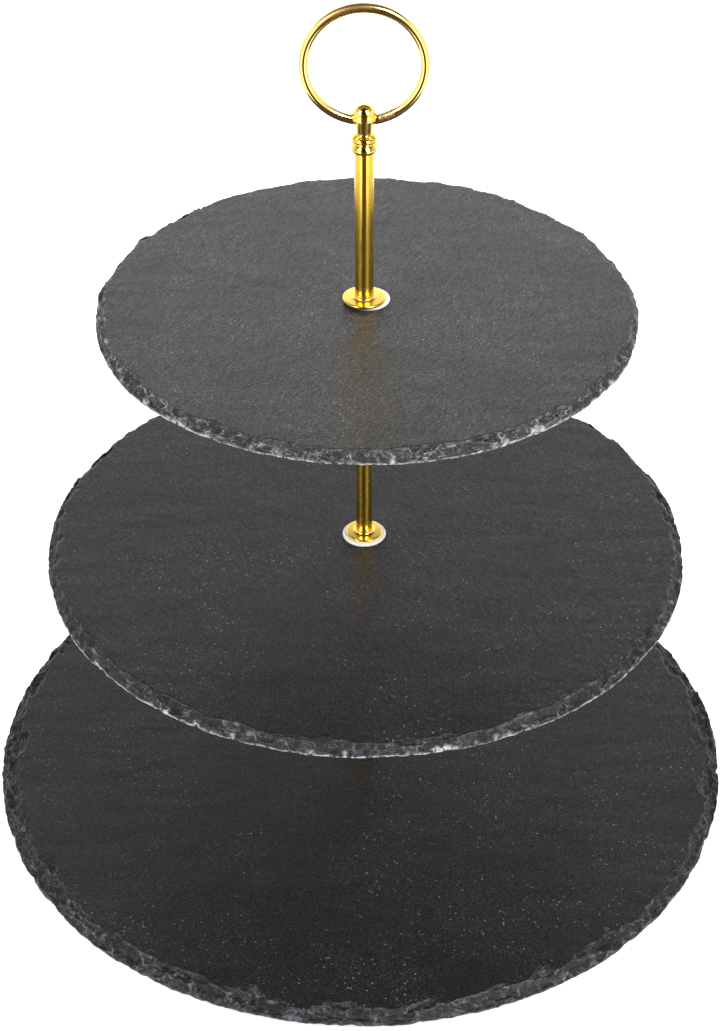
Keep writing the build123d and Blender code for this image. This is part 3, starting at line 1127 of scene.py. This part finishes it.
def thread_tree():
    tree = bpy.data.node_groups.new("threaded rod", "GeometryNodeTree")
    add_inputs(
        tree,
        {
            "Low": (FLOAT, 0.0),
            "High": (FLOAT, 0.02),
            "Crest Radius": (FLOAT, 2.0 * MM),
            "Root Radius": (FLOAT, 1.6 * MM),
            "Pitch": (FLOAT, 0.7 * MM),
            "Metal": ("NodeSocketMaterial", None),
        },
    )
    add_outputs(tree, {"Geometry": "NodeSocketGeometry"})
    b = Bench(tree)
    given = b.node("NodeGroupInput").outputs
    length = b.math("SUBTRACT", given["High"], given["Low"])
    lead = b.product(given["Pitch"], 1.2)
    cut_length = b.math("SUBTRACT", length, b.product(lead, 2.0))
    turns = b.math("DIVIDE", cut_length, given["Pitch"])
    depth = b.math("SUBTRACT", given["Crest Radius"], given["Root Radius"])
    path_radius = b.math("SUBTRACT", given["Root Radius"], 0.02 * MM)
    helix = b.node(
        "GeometryNodeCurveSpiral",
        {
            "Resolution": 28,
            "Rotations": turns,
            "Start Radius": path_radius,
            "End Radius": path_radius,
            "Height": cut_length,
        },
    ).outputs[0]
    upright = b.node(
        "GeometryNodeSetCurveNormal", {"Curve": helix}, mode="Z_UP"
    ).outputs[0]
    # a profile's own X points away from the axis once the path's normal is level
    half_root = b.product(given["Pitch"], 0.44)
    half_crest = b.product(given["Pitch"], 0.07)
    vee = b.node("GeometryNodeCurvePrimitiveQuadrilateral", mode="POINTS")
    b.feed(vee.inputs["Point 1"], b.combine(0.0, b.product(half_root, -1.0), 0.0))
    b.feed(vee.inputs["Point 2"], b.combine(depth, b.product(half_crest, -1.0), 0.0))
    b.feed(vee.inputs["Point 3"], b.combine(depth, half_crest, 0.0))
    b.feed(vee.inputs["Point 4"], b.combine(0.0, half_root, 0.0))
    ridge = b.node(
        "GeometryNodeCurveToMesh",
        {"Curve": upright, "Profile Curve": vee.outputs[0], "Fill Caps": True},
    ).outputs[0]
    start = b.combine(0.0, 0.0, b.total(given["Low"], lead))
    ridge = b.node("GeometryNodeTransform", {"Geometry": ridge, "Translation": start}).outputs[0]
    core = b.node(
        "GeometryNodeMeshCylinder",
        {"Vertices": 40, "Radius": given["Root Radius"], "Depth": length},
    ).outputs[0]
    middle = b.combine(0.0, 0.0, b.product(b.total(given["Low"], given["High"]), 0.5))
    core = b.node("GeometryNodeTransform", {"Geometry": core, "Translation": middle}).outputs[0]
    joined = b.node("GeometryNodeJoinGeometry")
    for part in (core, ridge):
        tree.links.new(part, joined.inputs[0])
    finish_tree(b, joined.outputs[0], given["Metal"])
    return tree


THREAD = thread_tree()
print("tree", THREAD.name, len(THREAD.nodes), "nodes")


def threaded_rod(name, low, high):
    host = add_object(name, bpy.data.meshes.new(name))
    run_tree(host, THREAD, {"Low": low, "High": high, "Metal": GOLD})
    host.data.shade_smooth()
    host.data.set_sharp_from_angle(angle=math.radians(30.0))
    return host


# %% Studs
for tier in ("lower", "middle"):
    size = measure(f"{tier}_post_stud")
    stud = threaded_rod(f"stud_{tier}", size["low"], size["high"])
    hand_over(stud, f"{tier}_post_stud", "gold_metal")

# %% [markdown]
# ## Base screw
#
# A pan-head screw comes up from below. Its head is spun like the other round pieces, and the
# cross recess is cut with a Boolean modifier, because a recess is simply metal taken away by
# a cross-shaped punch.

# %% Joining and cutting helpers


def join_pieces(main, *others):
    """Puts other meshes into the first one."""
    work = bmesh.new()
    for piece in (main, *others):
        work.from_mesh(piece.data)
    work.to_mesh(main.data)
    work.free()
    for piece in others:
        bpy.data.objects.remove(piece)
    return main


def cut_away(piece, tool):
    """Cuts the tool's shape out of the piece, then removes the tool."""
    cut = piece.modifiers.new("cut", "BOOLEAN")
    cut.operation = "DIFFERENCE"
    cut.solver = "EXACT"
    cut.object = tool
    bpy.context.view_layer.update()
    shown = piece.evaluated_get(bpy.context.evaluated_depsgraph_get())
    mesh = bpy.data.meshes.new_from_object(shown)
    piece.modifiers.clear()
    piece.data = mesh
    bpy.data.objects.remove(tool)
    return piece


def punch(name, outline, low, high):
    """A straight punch: a flat outline raised from one level to another."""
    count = len(outline)
    points = [(x, y, low) for x, y in outline] + [(x, y, high) for x, y in outline]
    faces = [tuple(range(count))[::-1], tuple(range(count, 2 * count))]
    for k in range(count):
        n = (k + 1) % count
        faces.append((k, n, count + n, count + k))
    return add_object(name, new_mesh(name, points, faces))


# %% Base screw
HEAD_ROUND = 1.2 * MM
CROSS_DEEP = 1.3 * MM
CROSS_WIDE = 0.45 * MM
CROSS_LONG = 2.2 * MM
size = measure("base_screw")
head_top = measure("base_screw_washer")["low"]
head_low, head_r = size["low"], size["radius"]
pan = arc_points(
    (head_r * 0.55, head_low + 0.02 * MM), (head_r, head_low), (head_r, head_low + HEAD_ROUND)
)
outline = [(0.0, head_low), (head_r * 0.45, head_low)] + pan
outline += [(head_r, head_top), (0.0, head_top)]
screw_head = spin("base_screw_visual", ease_corners(outline, 0.2 * MM), GOLD)
wide, arm = CROSS_WIDE, CROSS_LONG
cross = [
    (-wide, -arm), (wide, -arm), (wide, -wide), (arm, -wide), (arm, wide), (wide, wide),
    (wide, arm), (-wide, arm), (-wide, wide), (-arm, wide), (-arm, -wide), (-wide, -wide),
]
cut_away(screw_head, punch("cross_punch", cross, head_low - 0.5 * MM, head_low + CROSS_DEEP))
screw_head.data.set_sharp_from_angle(angle=math.radians(40.0))
shank = threaded_rod("base_screw_shank", head_top - 0.2 * MM, size["high"])
screw = join_pieces(screw_head, shank)
hand_over(screw, "base_screw", "gold_metal")

# %% [markdown]
# ## Bead collar
#
# The collar under the finial is turned with two beads. Each bead slopes gently up to the neck
# above it and rolls under sharply, so it shows a bright lip and a dark line below.

# %% Bead collar
WAIST = 3.5 * MM
COLLAR_NECK = 2.95 * MM
BEAD_STEP = 3.7 * MM


def bead_outline(base, widest, neck):
    """One bead, from its underside up to the neck above it."""

    def at(inwards, up):
        """A place in millimetres from the bead's widest line and its lower level."""
        return (widest - inwards * MM, base + up * MM)

    belly = arc_points(at(0.55, 0.62), at(-0.16, 1.15), at(0.14, 2.0), 10)
    groove = [at(0.24, 2.06)]
    crown = arc_points(at(0.12, 2.14), at(-0.02, 2.35), at(0.3, 2.6), 6)
    shoulder = (neck + 0.5 * MM, base + 3.2 * MM)
    sweep = arc_points(shoulder, (neck, base + 3.4 * MM), (neck, base + 3.65 * MM), 6)
    return belly + groove + crown + sweep


size = measure("bead_collar")
base, bead_r = size["low"], size["radius"]
outline = [(BORE, base), (WAIST, base), (WAIST, base + 0.5 * MM)]
outline += [(WAIST + 0.25 * MM, base + 0.55 * MM)] + bead_outline(base, bead_r, WAIST)
base += BEAD_STEP
outline += [(WAIST, base + 0.5 * MM)] + bead_outline(base, bead_r, COLLAR_NECK)
outline += [(BORE, size["high"])]
collar = spin("collar", ease_corners(outline, 0.04 * MM, 2), GOLD, segments=128, sharp=55.0)
hand_over(collar, "bead_collar", "gold_metal")

# %% [markdown]
# ## Finial
#
# The finial is a tapered neck with a dome on it, and two short ears stick out sideways where
# the ring goes through. Each level of it is a closed loop round the axis, so the shape is one
# rule: how far the metal reaches at this height in this direction. The neck, the dome and the
# ears are each such a reach, and a soft maximum melts one into the other like a casting does.

# %% Finial
NECK_LOW_R = 2.78 * MM
NECK_HIGH_R = 3.56 * MM
HEAD_HALF_LONG = 4.52 * MM
HEAD_HALF_WIDE = 3.88 * MM
EAR_HALF_WIDE = 2.1 * MM
EAR_DROP = 1.6 * MM
RING_HOLE_R = 2.02 * MM
HEAD_UP = 0.45 * MM
MELT = 0.25 * MM
NECK_LEVELS, EAR_LEVELS, DOME_LEVELS = 12, 30, 40
AROUND = 128


def soft_max(a, b, blend):
    """The larger of two lengths, with a rounded change-over."""
    share = max(0.0, min(1.0, 0.5 + 0.5 * (a - b) / blend))
    return b * (1 - share) + a * share + blend * share * (1 - share)


def oval_reach(turn, half_long, half_wide, squareness):
    """How far an oval reaches in a direction."""
    along = abs(math.cos(turn)) / half_long
    across = abs(math.sin(turn)) / half_wide
    return (along**squareness + across**squareness) ** (-1.0 / squareness)


size = measure("finial")
hole_z = frame["joints"][0]["pos_m"][2]
collar_top = measure("bead_collar")["high"]
dome_top = size["high"]
head_low = hole_z + HEAD_UP
ear_low = head_low - EAR_DROP


def neck_reach(z):
    share = min(1.0, (z - collar_top) / (head_low - collar_top))
    return NECK_LOW_R + (NECK_HIGH_R - NECK_LOW_R) * share


def head_reach(z, turn):
    """The dome, with a small rounding under its edge."""
    share = (z - head_low) / (dome_top - head_low)
    if share >= 0.0:
        size_here = math.sqrt(max(0.0, 1.0 - share**2.15))
    else:
        tuck = min(1.0, (head_low - z) / (0.3 * MM))
        size_here = 0.9 + 0.1 * math.sqrt(1.0 - tuck**2) if tuck < 1.0 else 0.0
    if size_here <= 0.0:
        return 0.0
    return size_here * oval_reach(turn, HEAD_HALF_LONG, HEAD_HALF_WIDE, 2.0)


def ear_reach(z, turn):
    """The two ears hang a little below the dome's edge where the ring goes in."""
    if z < ear_low or z > head_low:
        return 0.0
    down = (head_low - z) / EAR_DROP
    long_here = HEAD_HALF_LONG - 0.55 * MM * down**3
    wide_here = EAR_HALF_WIDE * math.sqrt(max(0.02, 1.0 - down**2.5))
    return oval_reach(turn, long_here, wide_here, 3.0)


ear_start = ear_low - 0.1 * MM
neck_tall, ear_tall, dome_tall = ear_start - collar_top, head_low - ear_start, dome_top - head_low
quarter = 0.5 * math.pi / DOME_LEVELS
levels = [collar_top + neck_tall * i / NECK_LEVELS for i in range(NECK_LEVELS)]
levels += [ear_start + ear_tall * i / EAR_LEVELS for i in range(EAR_LEVELS)]
levels += [head_low + dome_tall * math.sin(quarter * i) for i in range(DOME_LEVELS)]
points, faces = [], []
for z in levels:
    for k in range(AROUND):
        turn = 2.0 * math.pi * k / AROUND
        neck = neck_reach(z) if z < head_low + 0.2 * MM else 0.0
        body = max(neck, head_reach(z, turn))
        reach = soft_max(body, ear_reach(z, turn), MELT)
        points.append((reach * math.cos(turn), reach * math.sin(turn), z))
crown = len(points)
points += [(0.0, 0.0, dome_top), (0.0, 0.0, collar_top)]
last = crown - AROUND
for k in range(AROUND):
    n = (k + 1) % AROUND
    for a in range(0, last, AROUND):
        faces.append((a + k, a + n, a + AROUND + n, a + AROUND + k))
    faces.append((last + k, last + n, crown))
    faces.append((n, k, crown + 1))
mesh = new_mesh("finial_visual", points, faces)
mesh.materials.append(GOLD)
mesh.shade_smooth()
finial = add_object("finial_visual", mesh)
end = 20.0 * MM
drill_outline = [(0.0, -end), (RING_HOLE_R, -end), (RING_HOLE_R, end), (0.0, end)]
drill = spin("hole_drill", drill_outline, GOLD, segments=64)
drill.data.transform(Matrix.Rotation(math.pi / 2, 4, "Y"))
drill.data.transform(Matrix.Translation((0, 0, hole_z)))
cut_away(finial, drill)
finial.data.shade_smooth()
finial.data.set_sharp_from_angle(angle=math.radians(45.0))
spigot = threaded_rod("finial_spigot", size["low"], collar_top + 0.1 * MM)
join_pieces(finial, spigot)
hand_over(finial, "finial", "gold_metal")

# %% [markdown]
# ## Carry ring
#
# The ring is a wire bent round and brazed shut. It is a tube whose radius varies a little, and
# just right of the finial the braze has left a lumpy patch. The wire stays smooth inside the
# finial's hole, so that the ring can swing. Two attributes mark the braze and the duller,
# rubbed stretch along the top, where fingers lift the stand.

# %% Carry ring
size = measure("carry_ring")
low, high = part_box("carry_ring")
wire_r = (high.y - low.y) / 2
ring_centre = Vector((0.0, 0.0, (size["low"] + size["high"]) / 2))
ring_r = (size["high"] - size["low"]) / 2 - wire_r
ROUND, ACROSS = 288, 36
BRAZE_AT = math.radians(-90.0 + 22.0)
BRAZE_HALF = math.radians(13.0)
HOLE_END = math.radians(270.0 + 14.5)
RUBBED_AT = math.radians(90.0 + 14.0)
RUBBED_HALF = math.radians(36.0)
RUBBED_SIDE = math.radians(-40.0)
LUMP_TALL = 0.16 * MM
BRAZE_THICK = 0.05 * MM
WIRE_SWAY = 0.015 * MM


def near(angle, centre, half):
    """1 at a place on the ring, falling to 0 at half an arc away."""
    away = abs((angle - centre + math.pi) % (2.0 * math.pi) - math.pi) / half
    return max(0.0, 1.0 - away**2) if away < 1.0 else 0.0


points, faces, braze, rubbed = [], [], [], []
for i in range(ROUND):
    around = 2.0 * math.pi * i / ROUND
    outward = Vector((math.cos(around), 0.0, math.sin(around)))
    centre = ring_centre + outward * ring_r
    in_braze = near(around, BRAZE_AT, BRAZE_HALF)
    in_rub = near(around, RUBBED_AT, RUBBED_HALF)
    for j in range(ACROSS):
        turn = 2.0 * math.pi * j / ACROSS
        normal = outward * math.cos(turn) + Vector((0.0, 1.0, 0.0)) * math.sin(turn)
        spot = centre + normal * wire_r
        lump = noise.fractal(spot * 900.0, 1.0, 2.0, 3)
        inner_side = 0.5 - 0.5 * math.cos(turn)
        patch = in_braze * (0.35 + 0.65 * inner_side)
        if math.pi < around < HOLE_END:
            patch = 0.0
        grow = LUMP_TALL * patch * lump + BRAZE_THICK * patch
        sway = WIRE_SWAY * noise.noise(spot * 160.0)
        points.append(centre + normal * (wire_r + grow + sway))
        braze.append(min(1.0, patch * 1.6) * (0.75 + 0.25 * lump))
        rub_break = noise.fractal(Vector((around * 9.0, turn * 2.0, 3.0)), 1.0, 2.0, 3)
        facing = max(0.0, math.cos(turn - RUBBED_SIDE))
        rubbed.append(max(0.0, min(1.0, in_rub * (facing * 1.3 + 0.5 * rub_break))))
for i in range(ROUND):
    for j in range(ACROSS):
        i2, j2 = (i + 1) % ROUND, (j + 1) % ACROSS
        faces.append((i * ACROSS + j, i * ACROSS + j2, i2 * ACROSS + j2, i2 * ACROSS + j))
mesh = new_mesh("ring_handle", points, faces)
for name, values in (("braze", braze), ("rubbed", rubbed)):
    layer = mesh.attributes.new(name, "FLOAT", "POINT")
    layer.data.foreach_set("value", values)
work = bmesh.new()
work.from_mesh(mesh)
bmesh.ops.recalc_face_normals(work, faces=work.faces)
work.to_mesh(mesh)
work.free()
mesh.materials.append(RING_GOLD)
mesh.shade_smooth()
ring = add_object("ring_handle", mesh)
hand_over(ring, "carry_ring", "gold_metal")

# %% [markdown]
# ## Studio
#
# The stand is on a plain white floor in soft light. Polished metal looks like what it mirrors,
# so for mirror rays the world is a room, which matters more to the metal than the lamps: pale
# nearly all round, brighter low down in front, and dark overhead and straight ahead, where the
# gap puts a dark line down the middle of round metal. Every other ray sees plain white. The
# floor is hidden from mirror rays, so that the metal sees this room and not a white plane.

# %% Floor
FLOOR_HALF = 4.0
corners = [(-1, -1), (1, -1), (1, 1), (-1, 1)]
floor_points = [(x * FLOOR_HALF, y * FLOOR_HALF, 0.0) for x, y in corners]
floor_mesh = new_mesh("floor", floor_points, [(0, 1, 2, 3)])
floor = add_object("floor", floor_mesh)
floor_material, bench = new_material("white floor")
surface(
    bench,
    floor_material,
    {},
    Base_Color=colour(0.93, 0.93, 0.93),
    Roughness=0.9,
    Emission_Color=colour(1.0, 1.0, 1.0),
    Emission_Strength=0.55,
)
floor_mesh.materials.append(floor_material)
floor.visible_glossy = False

# %% World
PLAIN_WALL = 1.2
FRONT_PANEL = 2.5
BACK_WALL = 1.7
CEILING = 0.1
ROOM_LIGHT = 0.65
DARK_GAP = (0.05, 0.028, 0.012)
world = bpy.data.worlds.new("studio")
bpy.context.scene.world = world
world.use_nodes = True
world.node_tree.nodes.clear()
bench = Bench(world.node_tree)
towards = bench.node("ShaderNodeTexCoord").outputs["Generated"]
east, north, up = bench.split(towards)
level = bench.vector("LENGTH", bench.combine(east, north, 0.0))
flat_level = bench.math("MAXIMUM", level, 0.05)

# frontness is 1 on the camera's side of the room and -1 at its back wall
frontness = bench.math("DIVIDE", bench.product(north, -1.0), flat_level)
dark_front = bench.between(frontness, 0.86, 0.95)
panels = bench.between(frontness, 0.5, 0.88, PLAIN_WALL, FRONT_PANEL)
above = bench.between(up, 0.4, 0.7, 1.0, CEILING)
back_wall = bench.between(frontness, -0.9, -0.3, BACK_WALL, 1.0)
panels = bench.blend(bench.between(up, -0.1, 0.15), panels, PLAIN_WALL)
walls = bench.product(panels, back_wall, above)
rays = bench.node("ShaderNodeLightPath").outputs
is_glossy = rays["Is Glossy Ray"]
seen = bench.blend(rays["Is Camera Ray"], ROOM_LIGHT, 1.0)
strength = bench.blend(is_glossy, seen, walls)
dark_part = bench.product(dark_front, is_glossy)
tone = bench.tint(dark_part, colour(1.0, 1.0, 1.0), colour(*DARK_GAP))
sky = bench.node("ShaderNodeBackground", {"Color": tone, "Strength": strength})
bench.node("ShaderNodeOutputWorld", {"Surface": sky.outputs[0]})

# %% Lamps
AIM = (0.0, 0.0, 0.1)


def soft_lamp(name, place, width, height, power):
    """A large soft box that points at the stand."""
    lamp = bpy.data.lights.new(name, "AREA")
    lamp.shape = "RECTANGLE"
    lamp.size = width
    lamp.size_y = height
    lamp.energy = power
    lamp_object = add_object(name, lamp)
    lamp_object.location = place
    direction = Vector(AIM) - Vector(place)
    lamp_object.rotation_euler = direction.to_track_quat("-Z", "Y").to_euler()


soft_lamp("key", (1.05, -1.3, 1.7), 0.85, 1.0, 46.0)
soft_lamp("fill", (-1.35, -1.1, 1.6), 0.7, 0.9, 24.0)

scene = bpy.context.scene
scene.view_settings.view_transform = "Standard"
scene.view_settings.look = "None"
